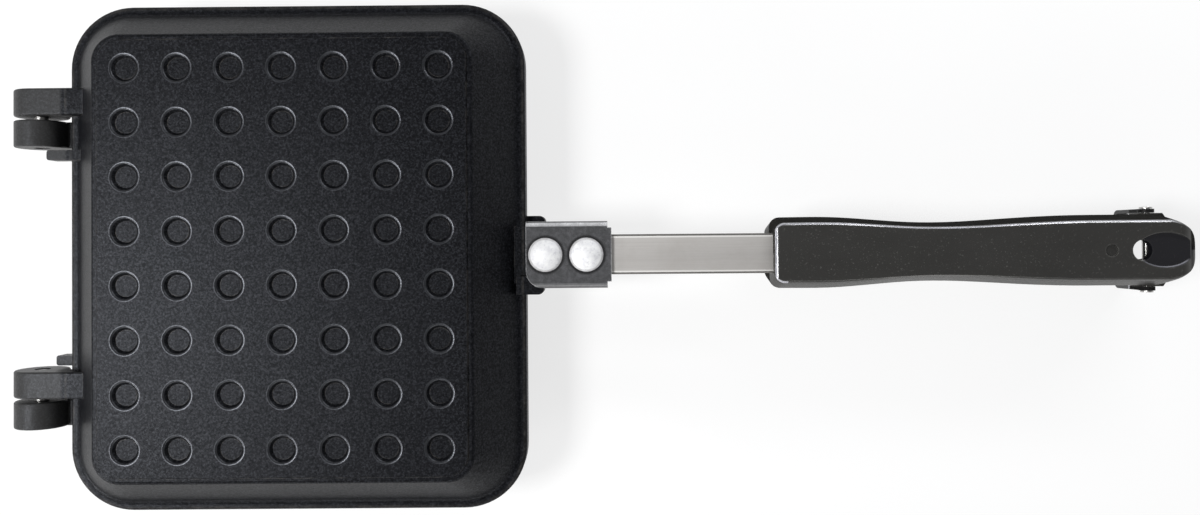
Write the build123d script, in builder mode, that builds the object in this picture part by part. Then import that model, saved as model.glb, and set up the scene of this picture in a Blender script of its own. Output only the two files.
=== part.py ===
"""Stovetop sandwich maker, closed: two pans hinged at one end, each with a bracket, a bar and a grip."""

import math
import os

from build123d import *

# Frame: +X towards the grips, +Z up, origin under the middle of the lower pan's panel. Millimetres.
# Heights are above the parting plane, where the two pans meet. The upper half is modelled, and the lower
# half is the same shape turned half a turn about the handle's line, which lies in the parting plane.

# Pan casting
PAN_LENGTH = 142.0
PAN_WIDTH = 157.0
PAN_CORNER = 19.5
PAN_HEIGHT = 19.0
RIM_THICKNESS = 3.5
RIM_LAND = 2.8
RIM_ROUNDING = 0.9
WALL = 3.0
WALL_FOOT_ROUNDING = 2.0
PANEL_LENGTH = 112.8
PANEL_WIDTH = 133.0
PANEL_CORNER = 8.0
PANEL_EDGE_ROUNDING = 1.2
LEDGE_WIDTH = 1.5
LEDGE_DROP = 0.5
LEDGE_ROUNDING = 0.3
TRAY_FLOOR_ROUNDING = 2.5

# Dimples in the panel
DIMPLE_COLUMNS = 7
DIMPLE_ROWS = 8
DIMPLE_PITCH_X = 15.5
DIMPLE_PITCH_Y = 16.15
DIMPLE_RADIUS = 4.1
DIMPLE_FLOOR_RADIUS = 3.2
DIMPLE_DEPTH = 1.3
DIMPLE_LIP = 0.8

# Hinges: each pan has an outer knuckle on one side and an inner one, with an end stop, on the other
HINGE_REACH = 10.9
HINGE_GAP_Y = 43.75
KNUCKLE_RADIUS = 7.8
KNUCKLE_THICKNESS = 8.3
KNUCKLE_GAP = 1.3
KNUCKLE_ROUNDING = 0.6
ARM_CLEARANCE = 0.3
STOP_THICKNESS = 3.2
STOP_GAP = 1.0
STOP_REACH = 6.7
STOP_HEIGHT = 5.0
STOP_ROUNDING = 0.8
HINGE_PIN_RADIUS = 2.25
HINGE_PIN_INSET = 0.3
HINGE_PIN_CHAMFER = 0.4

# Lug and boss of the pan, and the bracket over them
LUG_WIDTH = 17.6
LUG_THICKNESS = 2.9
LUG_END_MARGIN = 1.6
LUG_CORNER = 3.0
BOSS_REACH = 5.8
BOSS_OUTSIDE = 12.2
BOSS_WIDTH = 5.6
BOSS_CLEARANCE = 0.1
BOSS_ROUNDING = 1.8
BRACKET_LENGTH = 26.3
BRACKET_WIDTH = 20.6
BRACKET_CLEARANCE = 0.3
BRACKET_CORNER = 5.5
FLANGE_HEIGHT = 4.4
END_TRIM = 1.2
SHEET = 1.2
BEND_RADIUS = 2.0

# Handle bar and rivets
BAR_WIDTH = 12.3
BAR_THICKNESS = 2.5
BAR_TOP = 7.0
BAR_START_INSET = 1.2
BAR_EDGE = 0.3
RIVET_FIRST = 6.0
RIVET_PITCH = 12.6
RIVET_HEAD_RADIUS = 5.2
RIVET_HEAD_HEIGHT = 2.2
RIVET_SHANK_RADIUS = 2.5
RIVET_TAIL_RADIUS = 3.8
RIVET_TAIL_HEIGHT = 1.2

# Grips: widths are halves, at the parting side. The profile gives heights, each with its share of the widths
GRIP_START = 147.3
GRIP_LENGTH = 131.2
GRIP_PARTING_GAP = 0.5
GRIP_TOP = 10.0
GRIP_PROFILE = ((8.2, 0.855), (9.2, 0.83), (9.75, 0.80), (GRIP_TOP, 0.76))
GRIP_FRONT_HALF = 11.1
GRIP_WAIST_HALF = 9.35
GRIP_REAR_HALF = 11.1
GRIP_FRONT_CORNER = 3.2
GRIP_FRONT_RUN = 18.0
GRIP_WAIST_RUN = 43.0
GRIP_REAR_RUN = 100.0
GRIP_END_BOW = 10.5
GRIP_END_ROUNDING = 8.0
GRIP_FRONT_ROUNDING = 1.5
SLOT_CLEARANCE = 0.15
END_POCKET_WIDTH = 13.0
END_POCKET_RIB = 1.3
GRIP_END_WALL = 6.5
MARK_RADIUS = 1.9
MARK_DEPTH = 0.6
HANG_HOLE_FROM_END = 19.2
HANG_HOLE_RADIUS = 3.2
DISH_LENGTH = 18.0
DISH_WIDTH = 10.8
DISH_DEPTH = 0.8
DISH_OFFSET = 7.0

# Grip screws
SCREW_FROM_END = 28.7
SCREW_SHANK_RADIUS = 1.5
SCREW_SHANK_LENGTH = 4.3
SCREW_HEAD_RADIUS = 2.75
SCREW_HEAD_HEIGHT = 1.5
SCREW_HEAD_ROUNDING = 0.5
SCREW_SLOT_LENGTH = 3.4
SCREW_SLOT_WIDTH = 0.8
SCREW_SLOT_DEPTH = 0.7
BAR_END_MARGIN = 4.0

# Latch clip on the lower grip, and the pads that carry its pin
LATCH_PIN_FROM_END = 11.0
LATCH_PIN_BELOW = 3.0
LATCH_PIN_RADIUS = 1.2
LATCH_PIN_HEAD_RADIUS = 1.9
LATCH_PIN_HEAD_HEIGHT = 0.5
PAD_LENGTH = 12.0
PAD_HEIGHT = 4.8
PAD_ROOT = 8.5
PAD_SLOPE = 55.0
CLIP_HALF_INSIDE = 11.7
CLIP_REACH_INSIDE = 14.2
CLIP_THICKNESS = 1.2
CLIP_STRAP_WIDTH = 4.0
CLIP_EAR_RADIUS = 2.4
CLIP_BEND = 2.4
CLIP_SIDE_CLEARANCE = 0.15

# Fits on the radius: a pressed pin is larger than its hole, a running one smaller
PRESS = 0.01
RUNNING = 0.05

# Worked out from the driving dimensions
PARTING_Z = PAN_HEIGHT
HANDLE_LINE = Axis((0, 0, PARTING_Z), (1, 0, 0))
HINGE_X = -PAN_LENGTH / 2 - HINGE_REACH
KNUCKLE_SPACING = KNUCKLE_GAP + KNUCKLE_THICKNESS
OUTER_KNUCKLE_Y = HINGE_GAP_Y + KNUCKLE_SPACING / 2
INNER_KNUCKLE_Y = HINGE_GAP_Y - KNUCKLE_SPACING / 2
STOP_Y = INNER_KNUCKLE_Y - KNUCKLE_THICKNESS / 2 - STOP_GAP - STOP_THICKNESS / 2
WALL_BASE_LENGTH = PAN_LENGTH - 2 * RIM_LAND
WALL_BASE_WIDTH = PAN_WIDTH - 2 * RIM_LAND
LEDGE_TOP = PAN_HEIGHT - LEDGE_DROP
TRAY_DEPTH = PAN_HEIGHT - WALL
BAR_BOTTOM = BAR_TOP - BAR_THICKNESS
LUG_BOTTOM = BAR_BOTTOM - LUG_THICKNESS
BRACKET_START = PAN_LENGTH / 2 + BRACKET_CLEARANCE
BRACKET_END = BRACKET_START + BRACKET_LENGTH
BRACKET_TOP = BAR_TOP + SHEET
LUG_END = BRACKET_END - LUG_END_MARGIN
BOSS_END = PAN_LENGTH / 2 + BOSS_REACH
BOSS_Y = BOSS_WIDTH / 2 - BOSS_OUTSIDE
FRONT_RIVET_X = BRACKET_START + RIVET_FIRST
REAR_RIVET_X = FRONT_RIVET_X + RIVET_PITCH
GRIP_END = GRIP_START + GRIP_LENGTH
SCREW_X = GRIP_END - SCREW_FROM_END
BAR_LENGTH = SCREW_X + BAR_END_MARGIN - BRACKET_START - BAR_START_INSET
SLOT_END = SCREW_X + BAR_END_MARGIN + SLOT_CLEARANCE
END_POCKET_START = SLOT_END + END_POCKET_RIB
END_POCKET_END = GRIP_END - GRIP_END_WALL
HANG_HOLE_X = GRIP_END - HANG_HOLE_FROM_END
LATCH_PIN_X = GRIP_END - LATCH_PIN_FROM_END
LATCH_PIN_Z = PARTING_Z - LATCH_PIN_BELOW
CLIP_HALF_WIDTH = CLIP_HALF_INSIDE + CLIP_THICKNESS
CLIP_REACH = CLIP_REACH_INSIDE + CLIP_THICKNESS


def level(height):
    """The horizontal plane at a height above the parting plane."""
    return Plane.XY.offset(PARTING_Z + height)


def side_plane(y):
    """The upright plane at Y, with X and Z in its sketches."""
    return Plane.XZ.offset(-y)


def lower(part):
    """The piece of the lower half that answers to a piece of the upper half."""
    return part.rotate(HANDLE_LINE, 180)


def tray_size(height, base, panel):
    """The tray's length or width at a height, from the outside of the walls: they keep their thickness."""
    slope = (base - panel) / 2 / (LEDGE_TOP - RIM_THICKNESS)
    wall_across = WALL * math.hypot(1, slope)
    return base - 2 * slope * (height - RIM_THICKNESS) - 2 * wall_across


def tray():
    """The space that one pan gives the sandwich."""
    with BuildPart() as space:
        for height, corner in ((0, PAN_CORNER - RIM_LAND - WALL), (TRAY_DEPTH, PANEL_CORNER)):
            with BuildSketch(level(height)):
                RectangleRounded(
                    tray_size(height, WALL_BASE_LENGTH, PANEL_LENGTH),
                    tray_size(height, WALL_BASE_WIDTH, PANEL_WIDTH),
                    corner,
                )
        loft(ruled=True)
        fillet(space.faces().sort_by(Axis.Z)[-1].edges(), TRAY_FLOOR_ROUNDING)
    return space.part


def knuckle(y, bore):
    """A hinge knuckle with its arm, which runs into the pan's wall."""
    with BuildPart() as barrel:
        with BuildSketch(side_plane(y)):
            with Locations((HINGE_X, PARTING_Z)):
                Circle(KNUCKLE_RADIUS)
            with Locations((HINGE_X, PARTING_Z + ARM_CLEARANCE)):
                Rectangle(
                    HINGE_REACH + RIM_LAND + 2 * WALL,
                    KNUCKLE_RADIUS - ARM_CLEARANCE,
                    align=(Align.MIN, Align.MIN),
                )
        extrude(amount=KNUCKLE_THICKNESS / 2, both=True)
        sides = barrel.faces().filter_by(Axis.Y)
        fillet(sides.edges(), KNUCKLE_ROUNDING)
        with BuildSketch(side_plane(y)):
            with Locations((HINGE_X, PARTING_Z)):
                Circle(bore)
        extrude(amount=KNUCKLE_THICKNESS, both=True, mode=Mode.SUBTRACT)
    return barrel.part


def rivet(x):
    """A rivet with its domed head on the bracket and its tail under the lug."""
    with BuildPart() as fastener:
        with BuildSketch(side_plane(0)):
            with BuildLine():
                head_z = PARTING_Z + BRACKET_TOP
                tail_z = PARTING_Z + LUG_BOTTOM
                Polyline(
                    (x, head_z + RIVET_HEAD_HEIGHT),
                    (x, tail_z - RIVET_TAIL_HEIGHT),
                    (x + RIVET_TAIL_RADIUS, tail_z - RIVET_TAIL_HEIGHT),
                    (x + RIVET_TAIL_RADIUS, tail_z),
                    (x + RIVET_SHANK_RADIUS, tail_z),
                    (x + RIVET_SHANK_RADIUS, head_z),
                    (x + RIVET_HEAD_RADIUS, head_z),
                )
                dome_radius = (RIVET_HEAD_RADIUS**2 + RIVET_HEAD_HEIGHT**2) / (2 * RIVET_HEAD_HEIGHT)
                dome_angle = math.asin(RIVET_HEAD_RADIUS / dome_radius) / 2
                ThreePointArc(
                    (x + RIVET_HEAD_RADIUS, head_z),
                    (
                        x + dome_radius * math.sin(dome_angle),
                        head_z + RIVET_HEAD_HEIGHT - dome_radius * (1 - math.cos(dome_angle)),
                    ),
                    (x, head_z + RIVET_HEAD_HEIGHT),
                )
            make_face()
        revolve(axis=Axis((x, 0, 0), (0, 0, 1)))
    return fastener.part


def grip_outline(share):
    """The grip seen from above, with its widths times the share."""
    front = GRIP_FRONT_HALF * share
    waist = GRIP_WAIST_HALF * share
    rear = GRIP_REAR_HALF * share
    with BuildSketch() as outline:
        with BuildLine():
            for side in (1, -1):
                Line((GRIP_START, 0), (GRIP_START, side * (front - GRIP_FRONT_CORNER)))
                ThreePointArc(
                    (GRIP_START, side * (front - GRIP_FRONT_CORNER)),
                    (
                        GRIP_START + GRIP_FRONT_CORNER * (1 - math.cos(math.pi / 4)),
                        side * (front - GRIP_FRONT_CORNER * (1 - math.sin(math.pi / 4))),
                    ),
                    (GRIP_START + GRIP_FRONT_CORNER, side * front),
                )
                Spline(
                    (GRIP_START + GRIP_FRONT_CORNER, side * front),
                    (GRIP_START + GRIP_FRONT_RUN, side * front),
                    (GRIP_START + GRIP_WAIST_RUN, side * waist),
                    (GRIP_START + GRIP_REAR_RUN, side * rear),
                    tangents=[(1, 0), (1, 0)],
                )
                Line((GRIP_START + GRIP_REAR_RUN, side * rear), (GRIP_END - GRIP_END_BOW, side * rear))
            tip = GRIP_END - GRIP_END_BOW * (1 - share)
            ThreePointArc((GRIP_END - GRIP_END_BOW, rear), (tip, 0), (GRIP_END - GRIP_END_BOW, -rear))
        make_face()
    return outline.sketch


def grip():
    """A grip of the upper half, with its channel for the bar, its screw hole and the pocket in its end."""
    with BuildPart() as body:
        for height, share in ((GRIP_PARTING_GAP, 1), *GRIP_PROFILE):
            with BuildSketch(level(height)):
                add(grip_outline(share))
        loft(ruled=True)
        with BuildSketch(side_plane(0)) as side_view:
            with Locations((GRIP_START, PARTING_Z + GRIP_PARTING_GAP)):
                Rectangle(GRIP_LENGTH, GRIP_TOP - GRIP_PARTING_GAP, align=(Align.MIN, Align.MIN))
            front_corner, end_corner = side_view.vertices().group_by(Axis.Y)[-1].sort_by(Axis.X)
            fillet(front_corner, GRIP_FRONT_ROUNDING)
            end_corner = side_view.vertices().group_by(Axis.Y)[-1].sort_by(Axis.X)[-1]
            fillet(end_corner, GRIP_END_ROUNDING)
        extrude(amount=2 * GRIP_REAR_HALF, both=True, mode=Mode.INTERSECT)
        with BuildSketch(level(0)):
            with Locations((GRIP_START, 0)):
                Rectangle(2 * (SLOT_END - GRIP_START), BAR_WIDTH + 2 * SLOT_CLEARANCE)
            with Locations(((END_POCKET_START + END_POCKET_END) / 2, 0)):
                Rectangle(END_POCKET_END - END_POCKET_START, END_POCKET_WIDTH)
        extrude(amount=BAR_TOP, mode=Mode.SUBTRACT)
        with BuildSketch(level(0)):
            with Locations((SCREW_X, 0)):
                Circle(SCREW_SHANK_RADIUS)
        extrude(amount=BAR_BOTTOM + SCREW_SHANK_LENGTH, mode=Mode.SUBTRACT)
        with BuildSketch(level(GRIP_TOP)):
            with Locations((SCREW_X, 0)):
                Circle(MARK_RADIUS)
        extrude(amount=-MARK_DEPTH, mode=Mode.SUBTRACT)
    return body.part


os.makedirs("parts", exist_ok=True)

# Pans
with BuildPart() as upper_pan:
    with BuildSketch(level(RIM_THICKNESS)):
        RectangleRounded(WALL_BASE_LENGTH, WALL_BASE_WIDTH, PAN_CORNER - RIM_LAND)
    with BuildSketch(level(LEDGE_TOP)):
        RectangleRounded(PANEL_LENGTH, PANEL_WIDTH, PANEL_CORNER)
    loft(ruled=True)
    fillet(upper_pan.faces().sort_by(Axis.Z)[-1].edges(), PANEL_EDGE_ROUNDING)
    with BuildSketch(level(0)):
        RectangleRounded(PAN_LENGTH, PAN_WIDTH, PAN_CORNER)
    extrude(amount=RIM_THICKNESS)
    rim_land = upper_pan.faces().filter_by(Axis.Z).group_by(Axis.Z)[1].face()
    fillet(rim_land.inner_wires().edges(), WALL_FOOT_ROUNDING)
    rim_land = upper_pan.faces().filter_by(Axis.Z).group_by(Axis.Z)[1].face()
    fillet(rim_land.outer_wire().edges(), RIM_ROUNDING)
    with BuildSketch(level(LEDGE_TOP)):
        RectangleRounded(
            PANEL_LENGTH - 2 * LEDGE_WIDTH, PANEL_WIDTH - 2 * LEDGE_WIDTH, PANEL_CORNER - LEDGE_WIDTH
        )
    extrude(amount=LEDGE_DROP)
    fillet(upper_pan.faces().sort_by(Axis.Z)[-1].edges(), LEDGE_ROUNDING)
    with Locations((0, 0, PARTING_Z + PAN_HEIGHT)):
        with GridLocations(DIMPLE_PITCH_X, DIMPLE_PITCH_Y, DIMPLE_COLUMNS, DIMPLE_ROWS):
            Cone(
                DIMPLE_FLOOR_RADIUS,
                DIMPLE_RADIUS,
                DIMPLE_DEPTH,
                align=(Align.CENTER, Align.CENTER, Align.MAX),
                mode=Mode.SUBTRACT,
            )
    fillet(upper_pan.faces().sort_by(Axis.Z)[-1].inner_wires().edges(), DIMPLE_LIP)
    add(knuckle(OUTER_KNUCKLE_Y, HINGE_PIN_RADIUS - PRESS))
    add(knuckle(-INNER_KNUCKLE_Y, HINGE_PIN_RADIUS + RUNNING))
    with BuildSketch(level(ARM_CLEARANCE)) as stop:
        with Locations((-PAN_LENGTH / 2 - STOP_REACH, STOP_Y)):
            Rectangle(STOP_REACH + RIM_LAND + WALL, STOP_THICKNESS, align=(Align.MIN, Align.CENTER))
        fillet(stop.vertices().group_by(Axis.X)[0], STOP_ROUNDING)
    extrude(amount=STOP_HEIGHT - ARM_CLEARANCE)
    with BuildSketch(level(LUG_BOTTOM)) as lug:
        with Locations((LUG_END, 0)):
            Rectangle(LUG_END - PAN_LENGTH / 2 + RIM_LAND + WALL, LUG_WIDTH, align=(Align.MAX, Align.CENTER))
        fillet(lug.vertices().group_by(Axis.X)[-1], LUG_CORNER)
    extrude(amount=LUG_THICKNESS)
    with BuildSketch(level(ARM_CLEARANCE)) as boss:
        with Locations((BOSS_END, BOSS_Y)):
            Rectangle(BOSS_REACH + RIM_LAND, BOSS_WIDTH, align=(Align.MAX, Align.CENTER))
        fillet(boss.vertices().group_by(Axis.X)[-1], BOSS_ROUNDING)
    extrude(amount=BAR_TOP - BOSS_CLEARANCE - ARM_CLEARANCE)
    add(tray(), mode=Mode.SUBTRACT)
    with BuildSketch(level(LUG_BOTTOM)):
        with Locations((FRONT_RIVET_X, 0), (REAR_RIVET_X, 0)):
            Circle(RIVET_SHANK_RADIUS + RUNNING)
    extrude(amount=LUG_THICKNESS, mode=Mode.SUBTRACT)
upper_pan.part.label = "upper_pan"
export_step(upper_pan.part, "parts/upper_pan.step")

with BuildPart() as lower_pan:
    add(lower(upper_pan.part))
lower_pan.part.label = "lower_pan"
export_step(lower_pan.part, "parts/lower_pan.step")

# Hinge pins: each is pressed into the outer knuckle of one pan and runs in the inner knuckle of the other
for side, turn in (("right", 1), ("left", -1)):
    with BuildPart() as hinge_pin:
        with BuildSketch(side_plane(turn * HINGE_GAP_Y)):
            with Locations((HINGE_X, PARTING_Z)):
                Circle(HINGE_PIN_RADIUS)
        extrude(amount=KNUCKLE_GAP / 2 + KNUCKLE_THICKNESS - HINGE_PIN_INSET, both=True)
        chamfer(hinge_pin.edges().filter_by(GeomType.CIRCLE), HINGE_PIN_CHAMFER)
    hinge_pin.part.label = f"{side}_hinge_pin"
    export_step(hinge_pin.part, f"parts/{side}_hinge_pin.step")

# Brackets: a channel with its bends cut back at the grip's end and one corner rounded off by the boss
with BuildPart() as upper_bracket:
    with BuildSketch(Plane.YZ.offset(BRACKET_START)) as section:
        with Locations((0, PARTING_Z + BRACKET_TOP)):
            Rectangle(BRACKET_WIDTH, FLANGE_HEIGHT, align=(Align.CENTER, Align.MAX))
        fillet(section.vertices().group_by(Axis.Y)[-1], BEND_RADIUS)
    extrude(amount=BRACKET_LENGTH)
    with BuildSketch(Plane.YZ.offset(BRACKET_START)) as hollow:
        with Locations((0, PARTING_Z + BAR_TOP)):
            Rectangle(BRACKET_WIDTH - 2 * SHEET, FLANGE_HEIGHT, align=(Align.CENTER, Align.MAX))
        fillet(hollow.vertices().group_by(Axis.Y)[-1], BEND_RADIUS - SHEET)
    extrude(amount=BRACKET_LENGTH, mode=Mode.SUBTRACT)
    flange_bottom = BRACKET_TOP - FLANGE_HEIGHT
    with BuildSketch(level(flange_bottom)):
        with Locations((BRACKET_END, 0)):
            Rectangle(2 * END_TRIM, BRACKET_WIDTH)
    extrude(amount=FLANGE_HEIGHT - BEND_RADIUS, mode=Mode.SUBTRACT)
    with BuildSketch(level(flange_bottom)):
        with Locations((BRACKET_END, BRACKET_WIDTH / 2), (BRACKET_END, -BRACKET_WIDTH / 2)):
            Rectangle(2 * END_TRIM, 2 * BEND_RADIUS)
    extrude(amount=FLANGE_HEIGHT, mode=Mode.SUBTRACT)
    with BuildSketch(level(flange_bottom)):
        with Locations((BRACKET_START, -BRACKET_WIDTH / 2)):
            Rectangle(2 * (BRACKET_CORNER + BOSS_CLEARANCE), 2 * BEND_RADIUS)
    extrude(amount=FLANGE_HEIGHT - SHEET, mode=Mode.SUBTRACT)
    with BuildSketch(level(flange_bottom)) as corner:
        with Locations((BRACKET_START, -BRACKET_WIDTH / 2)):
            Rectangle(BRACKET_CORNER, BRACKET_CORNER, align=(Align.MIN, Align.MIN))
        with Locations((BRACKET_START + BRACKET_CORNER, BRACKET_CORNER - BRACKET_WIDTH / 2)):
            Circle(BRACKET_CORNER, mode=Mode.SUBTRACT)
    extrude(amount=FLANGE_HEIGHT, mode=Mode.SUBTRACT)
    with BuildSketch(level(BAR_TOP)):
        with Locations((FRONT_RIVET_X, 0), (REAR_RIVET_X, 0)):
            Circle(RIVET_SHANK_RADIUS + RUNNING)
    extrude(amount=SHEET, mode=Mode.SUBTRACT)
upper_bracket.part.label = "upper_bracket"
export_step(upper_bracket.part, "parts/upper_bracket.step")

with BuildPart() as lower_bracket:
    add(lower(upper_bracket.part))
lower_bracket.part.label = "lower_bracket"
export_step(lower_bracket.part, "parts/lower_bracket.step")

# Handle bars
with BuildPart() as upper_handle_bar:
    with BuildSketch(level(BAR_BOTTOM)):
        with Locations((BRACKET_START + BAR_START_INSET, 0)):
            Rectangle(BAR_LENGTH, BAR_WIDTH, align=(Align.MIN, Align.CENTER))
    extrude(amount=BAR_THICKNESS)
    chamfer(upper_handle_bar.edges().filter_by(Axis.X), BAR_EDGE)
    with BuildSketch(level(BAR_BOTTOM)):
        with Locations((FRONT_RIVET_X, 0), (REAR_RIVET_X, 0)):
            Circle(RIVET_SHANK_RADIUS + RUNNING)
        with Locations((SCREW_X, 0)):
            Circle(SCREW_SHANK_RADIUS + RUNNING)
    extrude(amount=BAR_THICKNESS, mode=Mode.SUBTRACT)
upper_handle_bar.part.label = "upper_handle_bar"
export_step(upper_handle_bar.part, "parts/upper_handle_bar.step")

with BuildPart() as lower_handle_bar:
    add(lower(upper_handle_bar.part))
lower_handle_bar.part.label = "lower_handle_bar"
export_step(lower_handle_bar.part, "parts/lower_handle_bar.step")

# Rivets
for place, rivet_x in (("front", FRONT_RIVET_X), ("rear", REAR_RIVET_X)):
    with BuildPart() as upper_rivet:
        add(rivet(rivet_x))
    upper_rivet.part.label = f"upper_{place}_rivet"
    export_step(upper_rivet.part, f"parts/upper_{place}_rivet.step")
    with BuildPart() as lower_rivet:
        add(lower(upper_rivet.part))
    lower_rivet.part.label = f"lower_{place}_rivet"
    export_step(lower_rivet.part, f"parts/lower_{place}_rivet.step")

# Grips
with BuildPart() as upper_grip:
    add(grip())
    with BuildSketch(level(GRIP_TOP)):
        with Locations((HANG_HOLE_X + DISH_OFFSET, 0)):
            Ellipse(DISH_LENGTH / 2, DISH_WIDTH / 2)
    extrude(amount=-DISH_DEPTH, mode=Mode.SUBTRACT)
    with BuildSketch(level(GRIP_TOP)):
        with Locations((HANG_HOLE_X, 0)):
            Circle(HANG_HOLE_RADIUS)
    extrude(amount=-GRIP_TOP, mode=Mode.SUBTRACT)
upper_grip.part.label = "upper_grip"
export_step(upper_grip.part, "parts/upper_grip.step")

with BuildPart() as lower_grip:
    add(lower(grip()))
    with BuildSketch(level(-GRIP_TOP)):
        with Locations(((HANG_HOLE_X - HANG_HOLE_RADIUS + END_POCKET_END) / 2, 0)):
            SlotOverall(END_POCKET_END - HANG_HOLE_X + HANG_HOLE_RADIUS, 2 * HANG_HOLE_RADIUS)
    extrude(amount=GRIP_TOP, mode=Mode.SUBTRACT)
    for side in (1, -1):
        with BuildSketch(Plane.XY.offset(LATCH_PIN_Z - PAD_HEIGHT / 2)):
            with Locations((LATCH_PIN_X, side * PAD_ROOT)):
                Trapezoid(
                    PAD_LENGTH,
                    CLIP_HALF_INSIDE - CLIP_SIDE_CLEARANCE - PAD_ROOT,
                    PAD_SLOPE,
                    rotation=90 - 90 * side,
                    align=(Align.CENTER, Align.MIN),
                )
        extrude(amount=PAD_HEIGHT)
    with BuildSketch(side_plane(0)):
        with Locations((LATCH_PIN_X, LATCH_PIN_Z)):
            Circle(LATCH_PIN_RADIUS - PRESS)
    extrude(amount=CLIP_HALF_WIDTH, both=True, mode=Mode.SUBTRACT)
lower_grip.part.label = "lower_grip"
export_step(lower_grip.part, "parts/lower_grip.step")

# Grip screws
with BuildPart() as upper_grip_screw:
    with BuildSketch(level(BAR_BOTTOM)):
        with Locations((SCREW_X, 0)):
            Circle(SCREW_SHANK_RADIUS)
    extrude(amount=SCREW_SHANK_LENGTH)
    with BuildSketch(level(BAR_BOTTOM)):
        with Locations((SCREW_X, 0)):
            Circle(SCREW_HEAD_RADIUS)
    extrude(amount=-SCREW_HEAD_HEIGHT)
    fillet(upper_grip_screw.edges().sort_by(Axis.Z)[0], SCREW_HEAD_ROUNDING)
    with BuildSketch(level(BAR_BOTTOM - SCREW_HEAD_HEIGHT)):
        with Locations((SCREW_X, 0)):
            Rectangle(SCREW_SLOT_LENGTH, SCREW_SLOT_WIDTH)
            Rectangle(SCREW_SLOT_WIDTH, SCREW_SLOT_LENGTH)
    extrude(amount=SCREW_SLOT_DEPTH, mode=Mode.SUBTRACT)
upper_grip_screw.part.label = "upper_grip_screw"
export_step(upper_grip_screw.part, "parts/upper_grip_screw.step")

with BuildPart() as lower_grip_screw:
    add(lower(upper_grip_screw.part))
lower_grip_screw.part.label = "lower_grip_screw"
export_step(lower_grip_screw.part, "parts/lower_grip_screw.step")

# Latch pin, pressed into the lower grip, with a head outside each ear of the clip
with BuildPart() as latch_pin:
    with BuildSketch(side_plane(0)):
        with Locations((LATCH_PIN_X, LATCH_PIN_Z)):
            Circle(LATCH_PIN_RADIUS)
    extrude(amount=CLIP_HALF_WIDTH + CLIP_SIDE_CLEARANCE, both=True)
    for side in (1, -1):
        with BuildSketch(side_plane(side * (CLIP_HALF_WIDTH + CLIP_SIDE_CLEARANCE))):
            with Locations((LATCH_PIN_X, LATCH_PIN_Z)):
                Circle(LATCH_PIN_HEAD_RADIUS)
        extrude(amount=-side * LATCH_PIN_HEAD_HEIGHT)
    head_rims = latch_pin.edges().filter_by(GeomType.CIRCLE).group_by(Axis.Y)
    fillet(head_rims[0] + head_rims[-1], LATCH_PIN_HEAD_HEIGHT / 2)
latch_pin.part.label = "latch_pin"
export_step(latch_pin.part, "parts/latch_pin.step")

# Latch clip, a bent strap that hangs from the pin
with BuildPart() as latch_clip:
    with BuildSketch(Plane.YZ.offset(LATCH_PIN_X)) as strap:
        with Locations((0, LATCH_PIN_Z - CLIP_REACH)):
            Rectangle(2 * CLIP_HALF_WIDTH, CLIP_REACH + CLIP_EAR_RADIUS, align=(Align.CENTER, Align.MIN))
        fillet(strap.vertices().group_by(Axis.Y)[0], CLIP_BEND)
    extrude(amount=CLIP_EAR_RADIUS, both=True)
    with BuildSketch(Plane.YZ.offset(LATCH_PIN_X)) as loop:
        with Locations((0, LATCH_PIN_Z - CLIP_REACH_INSIDE)):
            Rectangle(
                2 * CLIP_HALF_INSIDE, CLIP_REACH_INSIDE + CLIP_EAR_RADIUS, align=(Align.CENTER, Align.MIN)
            )
        fillet(loop.vertices().group_by(Axis.Y)[0], CLIP_BEND - CLIP_THICKNESS)
    extrude(amount=CLIP_EAR_RADIUS, both=True, mode=Mode.SUBTRACT)
    with BuildSketch(side_plane(0)):
        with Locations((LATCH_PIN_X, LATCH_PIN_Z)):
            Circle(CLIP_EAR_RADIUS)
            Rectangle(CLIP_STRAP_WIDTH, CLIP_REACH, align=(Align.CENTER, Align.MAX))
            Circle(LATCH_PIN_RADIUS + RUNNING, mode=Mode.SUBTRACT)
    extrude(amount=CLIP_HALF_WIDTH, both=True, mode=Mode.INTERSECT)
latch_clip.part.label = "latch_clip"
export_step(latch_clip.part, "parts/latch_clip.step")
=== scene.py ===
"""Looks of the stovetop sandwich maker: materials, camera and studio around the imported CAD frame. Metres."""

import math

import bpy
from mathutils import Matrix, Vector

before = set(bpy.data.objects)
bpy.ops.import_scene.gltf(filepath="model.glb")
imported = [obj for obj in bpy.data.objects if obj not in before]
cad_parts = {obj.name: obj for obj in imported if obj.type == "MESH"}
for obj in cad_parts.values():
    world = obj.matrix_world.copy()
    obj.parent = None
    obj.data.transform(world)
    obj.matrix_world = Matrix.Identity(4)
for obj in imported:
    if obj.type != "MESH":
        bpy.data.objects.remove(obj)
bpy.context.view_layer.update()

MM = 0.001

# Camera, fitted to the photograph: a wide lens close above the object's middle, almost straight down
CAMERA_AT = (95.07 * MM, 4.76 * MM, 316.9 * MM)
CAMERA_TURN = (0.0121, 0.0033, -0.0081)
LENS_MM = 28.362
SENSOR_MM = 36.0
SHIFT_Y = -0.025

# Features that the finishes follow, as in the part
PAN_HALF = (71.0 * MM, 78.5 * MM)
PAN_CORNER = 19.5 * MM
PANEL_HEIGHT = 19.0 * MM
DIMPLE_PITCH = (15.5 * MM, 16.15 * MM)
DIMPLE_COUNT = (7, 8)
DIMPLE_RADIUS = 4.1 * MM
RIVETS_X = (77.3 * MM, 89.9 * MM)
RIVET_RADIUS = 5.2 * MM
BEND_Y = (8.3 * MM, 10.3 * MM)
GRIP_TOP = 10.0 * MM
GRIP_BEVEL = 0.8 * MM
GRIP_START = 147.3 * MM
PARTING_Z = 19.0 * MM
DISH_X = 266.3 * MM
DISH_HALF = (9.0 * MM, 5.4 * MM)

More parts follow.
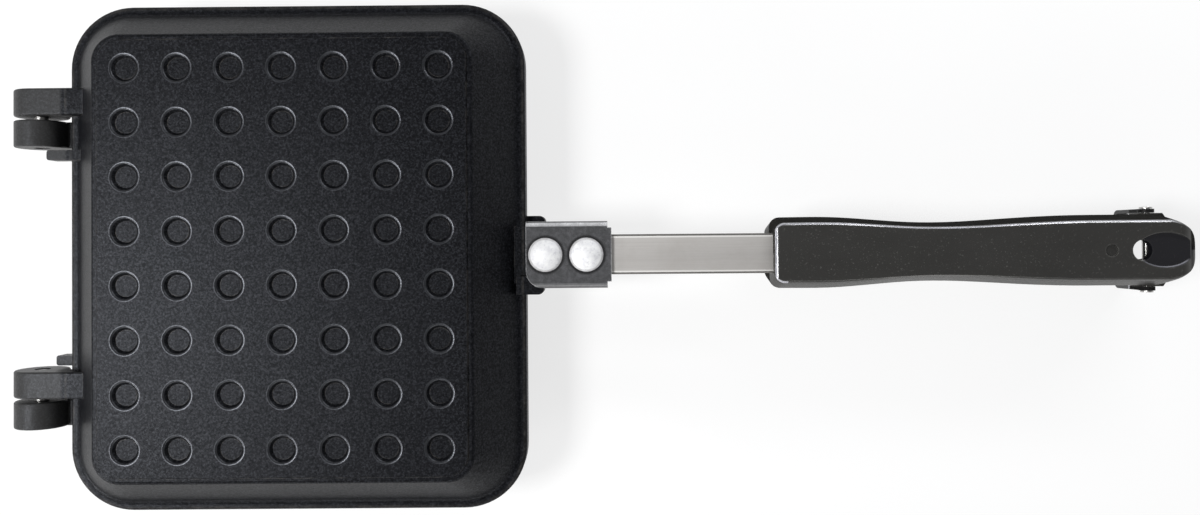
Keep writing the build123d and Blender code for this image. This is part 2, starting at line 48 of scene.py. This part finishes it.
# Where a look begins and where it is full
BAR_HIGHLIGHT_Y = (4.9 * MM, 5.3 * MM)
BAR_SHADE_Y = (5.4 * MM, 5.7 * MM)
DISH_ARC_Y = (-2.4 * MM, -3.8 * MM)
LIT_ARM_X = (-PAN_HALF[0] - 0.2 * MM, -PAN_HALF[0] - 1.2 * MM)
RIVET_SHADE_RING = (RIVET_RADIUS + 1.15 * MM, RIVET_RADIUS + 0.45 * MM)
RIVET_FOOT_SHADE = (RIVET_RADIUS - 0.9 * MM, RIVET_RADIUS - 0.2 * MM)

# Where a look begins, is full, fades and ends. The arc of painted reflection is in shares of the dish's half
# sizes
RUBBED_RIM = (-1.5 * MM, -0.7 * MM, -0.6 * MM, -0.25 * MM)
SHINY_LIP = (
    DIMPLE_RADIUS - 0.35 * MM,
    DIMPLE_RADIUS - 0.05 * MM,
    DIMPLE_RADIUS + 0.30 * MM,
    DIMPLE_RADIUS + 0.60 * MM,
)
BEND_HIGHLIGHT = (BEND_Y[0] + 0.3 * MM, BEND_Y[0] + 0.6 * MM, BEND_Y[1] - 0.6 * MM, BEND_Y[1] - 0.3 * MM)
DISH_ARC = (0.90, 0.94, 0.97, 1.01)

# Limits of the painted highlight round the grip's front and along its flank, and of the dish
GRIP_FRONT_END = GRIP_START + 4.0 * MM
GRIP_FLANK_Y = 6.3 * MM
GRIP_FLANK_END = (DISH_X + 5.0 * MM, DISH_X + 2.0 * MM)
DISH_LOWEST_Z = PARTING_Z + 7.0 * MM

# Specular levels of an exported model, which can't hold the varying ones
PLAIN_COAT_SPECULAR = 0.13
PLAIN_GRIP_SPECULAR = 0.35


class Finish:
    """A material whose nodes are made one call at a time.

    Points are in the row frame, so a finish stays on its piece.
    """

    def __init__(self, name):
        self.material = bpy.data.materials.new(name)
        self.material.use_nodes = True
        self.tree = self.material.node_tree
        self.tree.nodes.clear()
        self.point = self.node("ShaderNodeTexCoord").outputs["Object"]

    def node(self, kind, inputs=None, **settings):
        made = self.tree.nodes.new(kind)
        for name, value in settings.items():
            setattr(made, name, value)
        for key, value in (inputs or {}).items():
            socket = made.inputs[key]
            if isinstance(value, bpy.types.NodeSocket):
                self.tree.links.new(value, socket)
            else:
                socket.default_value = value
        return made

    def math(self, operation, first, second=0.0):
        return self.node("ShaderNodeMath", {0: first, 1: second}, operation=operation).outputs[0]

    def times(self, *factors):
        product = factors[0]
        for factor in factors[1:]:
            product = self.math("MULTIPLY", product, factor)
        return product

    def length(self, across, along):
        squares = [self.times(side, side) for side in (across, along)]
        return self.math("SQRT", self.math("ADD", *squares))

    def axes(self):
        return self.node("ShaderNodeSeparateXYZ", {0: self.point}).outputs

    def stretched(self, x, y, z):
        """The point with its axes scaled, for grain that runs along one of them."""
        return self.node(
            "ShaderNodeMapping", {"Vector": self.point, "Scale": (x, y, z)}, vector_type="POINT"
        ).outputs[0]

    def noise(self, size, detail=2.0, roughness=0.5, point=None):
        """Noise from 0 to 1 with features of about that size in metres."""
        return self.node(
            "ShaderNodeTexNoise",
            {
                "Vector": point or self.point,
                "Scale": 1.0 / size,
                "Detail": detail,
                "Roughness": roughness,
            },
        ).outputs["Fac"]

    def ramp(self, value, low, high, start=0.0, end=1.0, smooth=False):
        return self.node(
            "ShaderNodeMapRange",
            {"Value": value, "From Min": low, "From Max": high, "To Min": start, "To Max": end},
            interpolation_type="SMOOTHSTEP" if smooth else "LINEAR",
        ).outputs[0]

    def band(self, value, begins, full, fades, ends):
        """1 from full to fades, and 0 before it begins and after it ends."""
        return self.times(
            self.ramp(value, begins, full, smooth=True),
            self.ramp(value, ends, fades, smooth=True),
        )

    def blend(self, share, first, second):
        """Colours mixed by a share from 0 to 1."""
        return self.node("ShaderNodeMix", {0: share, 6: first, 7: second}, data_type="RGBA").outputs[2]

    def between(self, share, first, second):
        """Numbers mixed by a share from 0 to 1."""
        return self.node("ShaderNodeMix", {0: share, 2: first, 3: second}, data_type="FLOAT").outputs[0]

    def bump(self, height, depth, under=None):
        inputs = {"Height": height, "Distance": depth, "Strength": 1.0}
        if under:
            inputs["Normal"] = under
        return self.node("ShaderNodeBump", inputs).outputs[0]

    def edge(self, radius):
        """1 on sharp edges and 0 on flat faces."""
        round_normal = self.node("ShaderNodeBevel", {"Radius": radius}, samples=4).outputs[0]
        flat_normal = self.node("ShaderNodeNewGeometry").outputs["Normal"]
        along = self.node("ShaderNodeVectorMath", {0: round_normal, 1: flat_normal}, operation="DOT_PRODUCT")
        return self.ramp(along.outputs["Value"], 0.99, 0.86)

    def outline_distance(self, half, corner):
        """Distance from a rounded rectangle round the origin, seen from above: below 0 inside it."""
        axes = self.axes()
        past = [self.math("SUBTRACT", self.math("ABSOLUTE", axes[i]), half[i] - corner) for i in (0, 1)]
        reach = self.length(*[self.math("MAXIMUM", p, 0.0) for p in past])
        inside = self.math("MINIMUM", self.math("MAXIMUM", past[0], past[1]), 0.0)
        return self.math("SUBTRACT", self.math("ADD", reach, inside), corner)

    def parting_distance(self):
        """Height above or below the plane where the two halves meet."""
        return self.math("ABSOLUTE", self.math("SUBTRACT", self.axes()[2], PARTING_Z))

    def thumb_side(self):
        """1 on the +Y side of the upper half and the -Y side of the lower half, else 0."""
        _, y, z = self.axes()
        return self.math("GREATER_THAN", self.times(y, self.math("SUBTRACT", z, PARTING_Z)), 0.0)

    def dimple_distance(self):
        """Distance from the nearest dimple's middle, seen from above."""
        away = []
        for axis, pitch, count in zip(self.axes(), DIMPLE_PITCH, DIMPLE_COUNT):
            shifted = self.math("ADD", axis, (count - 1) % 2 * pitch / 2)
            nearest = self.math("SNAP", self.math("ADD", shifted, pitch / 2), pitch)
            away.append(self.math("SUBTRACT", shifted, nearest))
        return self.length(*away)

    def rivet_distance(self):
        """Distance from the nearer rivet's axis."""
        x, y, _ = self.axes()
        return self.math("MINIMUM", *[self.length(self.math("SUBTRACT", x, at), y) for at in RIVETS_X])

    def surface(self, plain_specular=0.5, **sockets):
        """The shader itself. Its names are the sockets' names with underscores.

        The plain specular level stands in where a model can't hold a varying one.
        """
        shader = self.node("ShaderNodeBsdfPrincipled", {k.replace("_", " "): v for k, v in sockets.items()})
        if shader.inputs["Specular IOR Level"].is_linked:
            shader.inputs["Specular IOR Level"].default_value = plain_specular
        self.node("ShaderNodeOutputMaterial", {"Surface": shader.outputs[0]})
        return self.material


def coated_aluminium():
    """Sprayed non-stick coating: charcoal, with the grain of its droplets, rubbed paler along the rim.

    The arms of the hinges are lighter with painted light, and each dimple has a shinier lip.
    """
    f = Finish("pan_coating")
    grain = f.noise(1.0 * MM, detail=3.0, roughness=0.7)
    fine = f.noise(0.25 * MM, detail=1.0)
    cloud = f.noise(24 * MM, detail=4.0, roughness=0.6)
    base = f.blend(cloud, (0.0020, 0.0021, 0.0026, 1), (0.0036, 0.0038, 0.0046, 1))
    speck = f.ramp(f.noise(0.60 * MM, detail=2.0, roughness=0.7), 0.46, 0.72)
    colour = f.blend(f.times(speck, 0.55), base, (0.026, 0.027, 0.033, 1))
    patchy = f.ramp(f.noise(3.5 * MM, detail=4.0, roughness=0.7), 0.44, 0.60)
    worn = f.times(f.edge(0.5 * MM), f.times(patchy, 0.55))
    rim = f.outline_distance(PAN_HALF, PAN_CORNER)
    rubbed = f.times(f.band(rim, *RUBBED_RIM), f.ramp(patchy, 0.0, 1.0, 0.08, 0.26))
    worn = f.math("MAXIMUM", worn, rubbed)
    colour = f.blend(worn, colour, (0.12, 0.112, 0.102, 1))
    # painted light: the hinge arms outside the pan's outline are made lighter
    lit_arm = f.ramp(f.axes()[0], *LIT_ARM_X)
    colour = f.blend(f.times(lit_arm, 0.42), colour, (0.085, 0.084, 0.083, 1))
    rough = f.ramp(grain, 0.25, 0.75, 0.37, 0.45)
    rough = f.between(f.ramp(cloud, 0.4, 0.7), rough, 0.42)
    gloss = f.ramp(f.math("ADD", f.times(speck, 0.35), grain), 0.36, 0.80, 0.06, 0.17)
    lip = f.times(
        f.band(f.dimple_distance(), *SHINY_LIP),
        f.ramp(f.parting_distance(), PANEL_HEIGHT - 1.4 * MM, PANEL_HEIGHT - 1.1 * MM),
    )
    gloss = f.between(lip, gloss, 0.65)
    rough = f.between(lip, rough, 0.34)
    relief = f.bump(grain, 0.05 * MM)
    relief = f.bump(fine, 0.01 * MM, relief)
    return f.surface(
        Base_Color=colour,
        Roughness=rough,
        Metallic=f.times(worn, 0.5),
        Specular_IOR_Level=gloss,
        plain_specular=PLAIN_COAT_SPECULAR,
        Specular_Tint=(0.87, 0.91, 1.0, 1),
        Normal=relief,
    )


def painted_bracket():
    """Satin black paint on folded sheet: slight orange peel, rubbed edges, painted shade round the rivets.

    The strip along one bend is a painted highlight for the light that it catches.
    """
    f = Finish("bracket_coating")
    peel = f.noise(0.9 * MM, detail=2.0)
    fine = f.noise(0.2 * MM, detail=2.0)
    cloud = f.noise(9 * MM, detail=3.0)
    base = f.blend(cloud, (0.040, 0.041, 0.043, 1), (0.062, 0.063, 0.066, 1))
    mottle = f.ramp(f.noise(1.5 * MM, detail=4.0, roughness=0.75), 0.42, 0.64)
    base = f.blend(f.times(mottle, 0.7), base, (0.105, 0.104, 0.112, 1))
    # painted shade: a dark ring round each rivet head
    rivet_shade = f.ramp(f.rivet_distance(), *RIVET_SHADE_RING, smooth=True)
    base = f.blend(f.times(rivet_shade, 0.9), base, (0.006, 0.006, 0.007, 1))
    rub = f.times(f.edge(0.45 * MM), f.ramp(f.noise(1.6 * MM, detail=4.0), 0.34, 0.54))
    side = f.math("ABSOLUTE", f.axes()[1])
    patchy = f.ramp(f.noise(2.5 * MM), 0.35, 0.6, 0.7, 1.0)
    # painted highlight: a near-white strip along the bends, full on one side
    bend_highlight = f.times(f.band(side, *BEND_HIGHLIGHT), f.between(f.thumb_side(), 0.12, patchy))
    # from here rub holds both the edge wear and the painted highlight of the bend
    rub = f.math("MAXIMUM", rub, bend_highlight)
    colour = f.blend(f.times(rub, 0.9), base, (0.80, 0.80, 0.82, 1))
    rough = f.ramp(fine, 0.3, 0.7, 0.24, 0.34)
    relief = f.bump(fine, 0.006 * MM, f.bump(peel, 0.02 * MM))
    return f.surface(
        Base_Color=colour,
        Roughness=rough,
        Metallic=f.times(rub, 0.6),
        Specular_IOR_Level=0.6,
        Normal=relief,
    )


def brushed_bar():
    """Steel strip brushed along its length, lightly stained, with a painted highlight and painted shade along
    its edges.
    """
    f = Finish("bar_steel")
    along = f.stretched(0.02, 1.0, 1.0)
    streak = f.noise(0.35 * MM, detail=3.0, roughness=0.65, point=along)
    broad = f.noise(3.2 * MM, detail=2.0, point=along)
    tone = f.math("ADD", f.times(streak, 0.6), f.times(broad, 0.4))
    colour = f.blend(f.ramp(tone, 0.35, 0.65), (0.49, 0.475, 0.46, 1), (0.54, 0.525, 0.51, 1))
    stain = f.ramp(f.noise(14 * MM, detail=5.0, roughness=0.65), 0.50, 0.72)
    colour = f.blend(f.times(stain, 0.25), colour, (0.36, 0.335, 0.31, 1))
    side = f.math("ABSOLUTE", f.axes()[1])
    # painted highlight: a near-white line just inside each long edge
    bar_edge_highlight = f.times(f.ramp(side, *BAR_HIGHLIGHT_Y, smooth=True), 0.7)
    colour = f.blend(bar_edge_highlight, colour, (0.97, 0.96, 0.94, 1))
    # painted shade: a dark line along each long edge
    edge = f.ramp(side, *BAR_SHADE_Y, smooth=True)
    colour = f.blend(f.times(edge, 0.9), colour, (0.08, 0.075, 0.07, 1))
    rough = f.ramp(tone, 0.3, 0.7, 0.62, 0.57)
    return f.surface(
        Base_Color=colour,
        Metallic=1.0,
        Roughness=rough,
        Anisotropic=0.1,
        Normal=f.bump(streak, 0.012 * MM),
    )


def rivet_aluminium():
    """Matt aluminium, smeared and nicked, with painted shade round the foot of the head."""
    f = Finish("rivet_metal")
    fine = f.noise(0.18 * MM, detail=3.0)
    smear = f.noise(1.8 * MM, detail=4.0, roughness=0.65)
    colour = f.blend(f.ramp(smear, 0.35, 0.65), (0.80, 0.80, 0.82, 1), (0.95, 0.95, 0.95, 1))
    nick = f.ramp(f.noise(1.1 * MM, detail=3.0, roughness=0.7), 0.54, 0.68)
    colour = f.blend(f.times(nick, 0.5), colour, (0.55, 0.55, 0.59, 1))
    # painted shade: the head is darker towards its edge
    foot_shade = f.ramp(f.rivet_distance(), *RIVET_FOOT_SHADE, smooth=True)
    foot_shade = f.times(foot_shade, f.ramp(smear, 0.35, 0.6, 0.2, 0.7))
    colour = f.blend(foot_shade, colour, (0.34, 0.33, 0.34, 1))
    rough = f.ramp(smear, 0.3, 0.7, 0.60, 0.72)
    return f.surface(
        Base_Color=colour,
        Metallic=0.3,
        Roughness=rough,
        Normal=f.bump(fine, 0.006 * MM, f.bump(smear, 0.02 * MM)),
    )


def pin_steel():
    """Turned steel with a light oil film."""
    f = Finish("pin_steel")
    fine = f.noise(0.15 * MM, detail=2.0)
    film = f.noise(2.2 * MM, detail=3.0)
    colour = f.blend(film, (0.44, 0.43, 0.42, 1), (0.62, 0.61, 0.60, 1))
    return f.surface(
        Base_Color=colour,
        Metallic=1.0,
        Roughness=f.ramp(film, 0.3, 0.7, 0.25, 0.42),
        Normal=f.bump(fine, 0.006 * MM),
    )


def moulded_plastic(name, dark, light, grain_size, rough_low, rough_high, wear_colour):
    """Moulded thermoset plastic: spark-eroded grain, flow clouding, rubbed edges and a smooth dish.

    The line along one edge is a painted highlight, the arc in the dish a painted reflection, and the dish
    is darkened with painted shade. The duller walls stand in for reflections. The clip has the same finish in
    its own colours.
    """
    f = Finish(name)
    grain = f.noise(grain_size, detail=2.0, roughness=0.6)
    flow = f.noise(12 * MM, detail=4.0, roughness=0.6, point=f.stretched(0.4, 1.0, 1.0))
    base = f.blend(flow, dark, light)
    dust = f.times(f.ramp(f.noise(0.6 * MM, detail=3.0), 0.62, 0.72), 0.4)
    colour = f.blend(dust, base, wear_colour)
    rub = f.times(f.edge(0.5 * MM), f.ramp(f.noise(4 * MM, detail=4.0), 0.36, 0.56))
    colour = f.blend(f.times(rub, 0.8), colour, wear_colour)
    rough = f.ramp(grain, 0.3, 0.7, rough_low, rough_high)
    rough = f.between(f.times(rub, 0.6), rough, rough_low - 0.12)
    height = f.parting_distance()
    polished = f.times(
        f.ramp(height, GRIP_TOP - GRIP_BEVEL - 0.2 * MM, GRIP_TOP - GRIP_BEVEL, smooth=True),
        f.ramp(height, GRIP_TOP - 0.01 * MM, GRIP_TOP - 0.05 * MM),
    )
    x, y, z = f.axes()
    thumb_side = f.thumb_side()
    streaky = f.stretched(1 / (9 * MM), 1 / (2 * MM), 1 / (0.3 * MM))
    flank = f.times(
        thumb_side,
        f.math("GREATER_THAN", f.math("ABSOLUTE", y), GRIP_FLANK_Y),
        f.ramp(x, *GRIP_FLANK_END),
    )
    front = f.math("LESS_THAN", x, GRIP_FRONT_END)
    # painted highlight: a pale line along the top edge, on one side's flank and round the front
    grip_edge_highlight = f.times(
        f.ramp(height, GRIP_TOP - 0.75 * MM, GRIP_TOP - 0.60 * MM, smooth=True),
        f.ramp(height, GRIP_TOP - 0.05 * MM, GRIP_TOP - 0.12 * MM),
        f.ramp(f.noise(1.0, detail=3.0, point=streaky), 0.3, 0.6, 0.35, 1.0),
        f.math("MAXIMUM", flank, front),
    )
    colour = f.blend(f.times(grip_edge_highlight, 0.8), colour, (0.66, 0.66, 0.72, 1))
    wall = f.ramp(height, GRIP_TOP - 0.8 * MM, GRIP_TOP - 1.1 * MM)
    specular = f.between(wall, 0.5, f.between(thumb_side, 0.05, 0.0))
    reach = f.length(
        f.math("DIVIDE", f.math("SUBTRACT", x, DISH_X), DISH_HALF[0]),
        f.math("DIVIDE", y, DISH_HALF[1]),
    )
    dish = f.times(f.ramp(reach, 1.02, 0.97), f.math("GREATER_THAN", z, DISH_LOWEST_Z))
    # painted shade: the dish is darkened
    colour = f.blend(f.times(dish, 0.75), colour, (0.005, 0.005, 0.009, 1))
    # painted reflection: a pale arc along one side of the dish
    arc_reflection = f.times(f.band(reach, *DISH_ARC), dish, f.ramp(y, *DISH_ARC_Y, smooth=True))
    colour = f.blend(f.times(arc_reflection, 0.6), colour, (0.42, 0.42, 0.47, 1))
    smooth = f.math("MAXIMUM", polished, f.times(dish, 0.8))
    rough = f.between(smooth, rough, 0.15)
    relief = f.times(grain, f.ramp(smooth, 0.0, 1.0, 1.0, 0.1))
    return f.surface(
        Base_Color=colour,
        Roughness=rough,
        Specular_IOR_Level=specular,
        plain_specular=PLAIN_GRIP_SPECULAR,
        Normal=f.bump(relief, 0.02 * MM),
    )


pan_finish = coated_aluminium()
bracket_finish = painted_bracket()
bar_finish = brushed_bar()
rivet_finish = rivet_aluminium()
pin_finish = pin_steel()
grip_finish = moulded_plastic(
    "grip_plastic",
    dark=(0.020, 0.0195, 0.018, 1),
    light=(0.034, 0.033, 0.031, 1),
    grain_size=0.3 * MM,
    rough_low=0.28,
    rough_high=0.38,
    wear_colour=(0.13, 0.128, 0.12, 1),
)
clip_finish = moulded_plastic(
    "clip_plastic",
    dark=(0.010, 0.010, 0.010, 1),
    light=(0.018, 0.018, 0.018, 1),
    grain_size=0.25 * MM,
    rough_low=0.26,
    rough_high=0.36,
    wear_colour=(0.10, 0.10, 0.10, 1),
)

FINISHES = {
    "pan": pan_finish,
    "bracket": bracket_finish,
    "handle_bar": bar_finish,
    "rivet": rivet_finish,
    "hinge_pin": pin_finish,
    "grip_screw": pin_finish,
    "latch_pin": pin_finish,
    "grip": grip_finish,
    "latch_clip": clip_finish,
}

for name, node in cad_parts.items():
    ending = max((e for e in FINISHES if name.endswith(e)), key=len)
    for slot in node.material_slots:
        slot.material = FINISHES[ending]


# Studio: pale floor and surroundings, soft light from the hinge side, a low corner and the long sides
FLOOR_HALF = 3.0
CAMERA_GLOW = 0.74


def seen_directly(nodes, links):
    """1 for rays from the camera, mirrors and glass, which see the background as the photograph has it."""
    path = nodes.new("ShaderNodeLightPath")
    total = path.outputs["Is Camera Ray"]
    for output in ("Is Glossy Ray", "Is Transmission Ray"):
        either = nodes.new("ShaderNodeMath")
        either.operation = "MAXIMUM"
        links.new(total, either.inputs[0])
        links.new(path.outputs[output], either.inputs[1])
        total = either.outputs[0]
    return total


def floor_material():
    material = bpy.data.materials.new("floor_paper")
    material.use_nodes = True
    nodes, links = material.node_tree.nodes, material.node_tree.links
    nodes.clear()
    plain = nodes.new("ShaderNodeBsdfDiffuse")
    plain.inputs["Color"].default_value = (0.62, 0.62, 0.62, 1)
    shaded = nodes.new("ShaderNodeBsdfDiffuse")
    shaded.inputs["Color"].default_value = (0.26, 0.26, 0.26, 1)
    glow = nodes.new("ShaderNodeEmission")
    glow.inputs["Strength"].default_value = CAMERA_GLOW
    together = nodes.new("ShaderNodeAddShader")
    links.new(shaded.outputs[0], together.inputs[0])
    links.new(glow.outputs[0], together.inputs[1])
    choose = nodes.new("ShaderNodeMixShader")
    links.new(seen_directly(nodes, links), choose.inputs[0])
    links.new(plain.outputs[0], choose.inputs[1])
    links.new(together.outputs[0], choose.inputs[2])
    output = nodes.new("ShaderNodeOutputMaterial")
    links.new(choose.outputs[0], output.inputs["Surface"])
    return material


floor_mesh = bpy.data.meshes.new("floor")
corners = [(x * FLOOR_HALF, y * FLOOR_HALF, 0.0) for x, y in ((-1, -1), (1, -1), (1, 1), (-1, 1))]
floor_mesh.from_pydata(corners, [], [(0, 1, 2, 3)])
floor_mesh.materials.append(floor_material())
floor = bpy.data.objects.new("floor", floor_mesh)
bpy.context.scene.collection.objects.link(floor)


def pale_world():
    world = bpy.data.worlds.new("studio")
    bpy.context.scene.world = world
    world.use_nodes = True
    nodes, links = world.node_tree.nodes, world.node_tree.links
    nodes.clear()
    towards = nodes.new("ShaderNodeTexCoord")
    split = nodes.new("ShaderNodeSeparateXYZ")
    links.new(towards.outputs["Generated"], split.inputs[0])
    height = nodes.new("ShaderNodeMapRange")
    links.new(split.outputs[2], height.inputs["Value"])
    for name, value in (("From Min", 0.25), ("From Max", 0.75), ("To Min", 1.0), ("To Max", 0.30)):
        height.inputs[name].default_value = value
    fill = nodes.new("ShaderNodeBackground")
    fill.inputs["Color"].default_value = (0.94, 0.97, 1.0, 1)
    fill.inputs["Strength"].default_value = 0.18
    seen = nodes.new("ShaderNodeBackground")
    links.new(height.outputs[0], seen.inputs["Strength"])
    choose = nodes.new("ShaderNodeMixShader")
    links.new(seen_directly(nodes, links), choose.inputs[0])
    links.new(fill.outputs[0], choose.inputs[1])
    links.new(seen.outputs[0], choose.inputs[2])
    output = nodes.new("ShaderNodeOutputWorld")
    links.new(choose.outputs[0], output.inputs["Surface"])


def softbox(name, at, towards, width, height, share, tint=(1, 1, 1)):
    """A rectangular lamp that gives the aim point that share of the light at which white renders white."""
    at, towards = Vector(at), Vector(towards)
    lamp = bpy.data.lights.new(name, "AREA")
    lamp.shape = "RECTANGLE"
    lamp.size, lamp.size_y = width, height
    lamp.color = tint
    distance = (towards - at).length
    lamp.energy = share * math.pi**2 * distance**2
    box = bpy.data.objects.new(name, lamp)
    box.location = at
    box.rotation_mode = "QUATERNION"
    box.rotation_quaternion = (towards - at).to_track_quat("-Z", "Y")
    box.visible_camera = False
    bpy.context.scene.collection.objects.link(box)


pale_world()
AIM = (0.02, 0.0, 0.03)
HANDLE_AIM = (0.20, 0.0, 0.03)
WARM = (1.0, 0.99, 0.97)
COOL = (0.97, 0.98, 1.0)
softbox("hinge_side_light", (-0.55, -0.12, 0.86), AIM, width=0.32, height=0.32, share=0.92)
softbox("low_corner_light", (-0.72, -0.55, 0.28), AIM, width=0.30, height=0.10, share=0.30)
softbox("near_side_light", (0.08, -0.90, 0.27), AIM, width=1.0, height=0.24, share=0.26, tint=WARM)
softbox("far_side_light", (0.46, 0.52, 0.32), HANDLE_AIM, width=0.50, height=0.06, share=0.46, tint=COOL)

camera_data = bpy.data.cameras.new("camera")
camera_data.lens = LENS_MM
camera_data.sensor_width = SENSOR_MM
camera_data.sensor_fit = "HORIZONTAL"
camera_data.shift_y = SHIFT_Y
camera_data.clip_start = 0.01
camera_data.clip_end = 20.0
camera = bpy.data.objects.new("camera", camera_data)
camera.location = CAMERA_AT
camera.rotation_euler = CAMERA_TURN
bpy.context.scene.collection.objects.link(camera)
bpy.context.scene.camera = camera

bpy.context.scene.view_settings.view_transform = "Standard"
